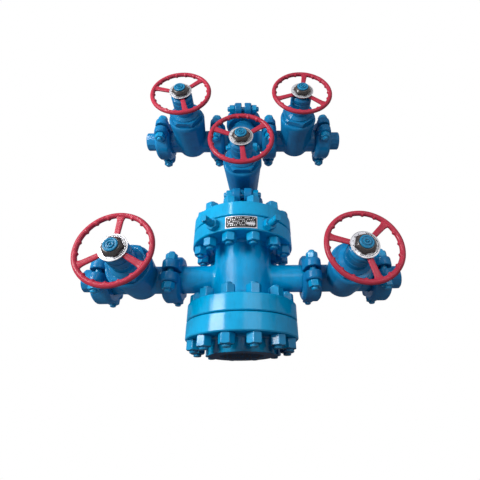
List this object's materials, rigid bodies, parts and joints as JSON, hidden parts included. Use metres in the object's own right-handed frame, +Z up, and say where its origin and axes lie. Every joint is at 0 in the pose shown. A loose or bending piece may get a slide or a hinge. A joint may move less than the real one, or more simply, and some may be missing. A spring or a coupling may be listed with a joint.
{
  "type": "gas wellhead valve stack",
  "caption": "Wellhead tree: flanged casing and tubing heads, a master gate valve, a cross and side gate valves with handwheels, joined by hub clamps.",
  "frame": {"origin": "centre of the casing bore at the casing head's lower face, which rests on the floor", "axes": "+Z up the well's axis, +X along the side valves to the right as seen from the handwheels, -Y the side the handwheels face"},
  "size_m": [1.428, 0.6678, 1.423],
  "materials": {
    "flange_enamel": "glossy blue enamel on machined steel",
    "valve_enamel": "glossy blue enamel on cast and forged steel",
    "clamp_enamel": "glossy blue enamel on cast steel",
    "bolt_enamel": "glossy blue enamel on steel bolting",
    "wheel_enamel": "glossy red enamel on cast iron",
    "dial_metal": "satin bare plate",
    "nut_black": "glossy black moulded nut",
    "cap_enamel": "glossy light blue enamel",
    "plate_metal": "satin rolled plate"
  },
  "bodies": {
    "root": {"casing_head": "flange_enamel", "casing_head_flange": "flange_enamel", "tubing_head": "flange_enamel", "tubing_head_lower_flange": "flange_enamel", "tubing_head_upper_flange": "flange_enamel", "lock_screws": "bolt_enamel", "name_plate": "plate_metal", "tubing_adapter": "flange_enamel", "cross": "valve_enamel", "tree_cap": "valve_enamel", "upper_end_hubs": "valve_enamel", "lower_end_hubs": "valve_enamel", "master_valve_body": "valve_enamel", "master_bonnet": "valve_enamel", "left_wing_valve_body": "valve_enamel", "left_wing_bonnet": "valve_enamel", "right_wing_valve_body": "valve_enamel", "right_wing_bonnet": "valve_enamel", "left_annulus_valve_body": "valve_enamel", "left_annulus_bonnet": "valve_enamel", "right_annulus_valve_body": "valve_enamel", "right_annulus_bonnet": "valve_enamel", "adapter_clamp": "clamp_enamel", "cross_clamp": "clamp_enamel", "cap_clamp": "clamp_enamel", "left_wing_inner_clamp": "clamp_enamel", "left_wing_outer_clamp": "clamp_enamel", "right_wing_inner_clamp": "clamp_enamel", "right_wing_outer_clamp": "clamp_enamel", "left_annulus_inner_clamp": "clamp_enamel", "left_annulus_outer_clamp": "clamp_enamel", "right_annulus_inner_clamp": "clamp_enamel", "right_annulus_outer_clamp": "clamp_enamel"},
    "master_wheel": {"master_handwheel": "wheel_enamel", "master_dial": "dial_metal", "master_hub_nut": "nut_black", "master_stem_cap": "cap_enamel"},
    "left_wing_wheel": {"left_wing_handwheel": "wheel_enamel", "left_wing_dial": "dial_metal", "left_wing_hub_nut": "nut_black", "left_wing_stem_cap": "cap_enamel"},
    "right_wing_wheel": {"right_wing_handwheel": "wheel_enamel", "right_wing_dial": "dial_metal", "right_wing_hub_nut": "nut_black", "right_wing_stem_cap": "cap_enamel"},
    "left_annulus_wheel": {"left_annulus_handwheel": "wheel_enamel", "left_annulus_dial": "dial_metal", "left_annulus_hub_nut": "nut_black", "left_annulus_stem_cap": "cap_enamel"},
    "right_annulus_wheel": {"right_annulus_handwheel": "wheel_enamel", "right_annulus_dial": "dial_metal", "right_annulus_hub_nut": "nut_black", "right_annulus_stem_cap": "cap_enamel"}
  },
  "joints": [
    {"name": "master_wheel_turn", "type": "hinge", "parent": "root", "child": "master_wheel", "pos_m": [0, -0.349, 0.87], "axis": [0, -1, 0], "continuous": true},
    {"name": "left_wing_wheel_turn", "type": "hinge", "parent": "root", "child": "left_wing_wheel", "pos_m": [-0.301, -0.349, 1.171], "axis": [0, -1, 0], "continuous": true},
    {"name": "right_wing_wheel_turn", "type": "hinge", "parent": "root", "child": "right_wing_wheel", "pos_m": [0.301, -0.349, 1.171], "axis": [0, -1, 0], "continuous": true},
    {"name": "left_annulus_wheel_turn", "type": "hinge", "parent": "root", "child": "left_annulus_wheel", "pos_m": [-0.461, -0.349, 0.329], "axis": [0, -1, 0], "continuous": true},
    {"name": "right_annulus_wheel_turn", "type": "hinge", "parent": "root", "child": "right_annulus_wheel", "pos_m": [0.461, -0.349, 0.329], "axis": [0, -1, 0], "continuous": true}
  ]
}
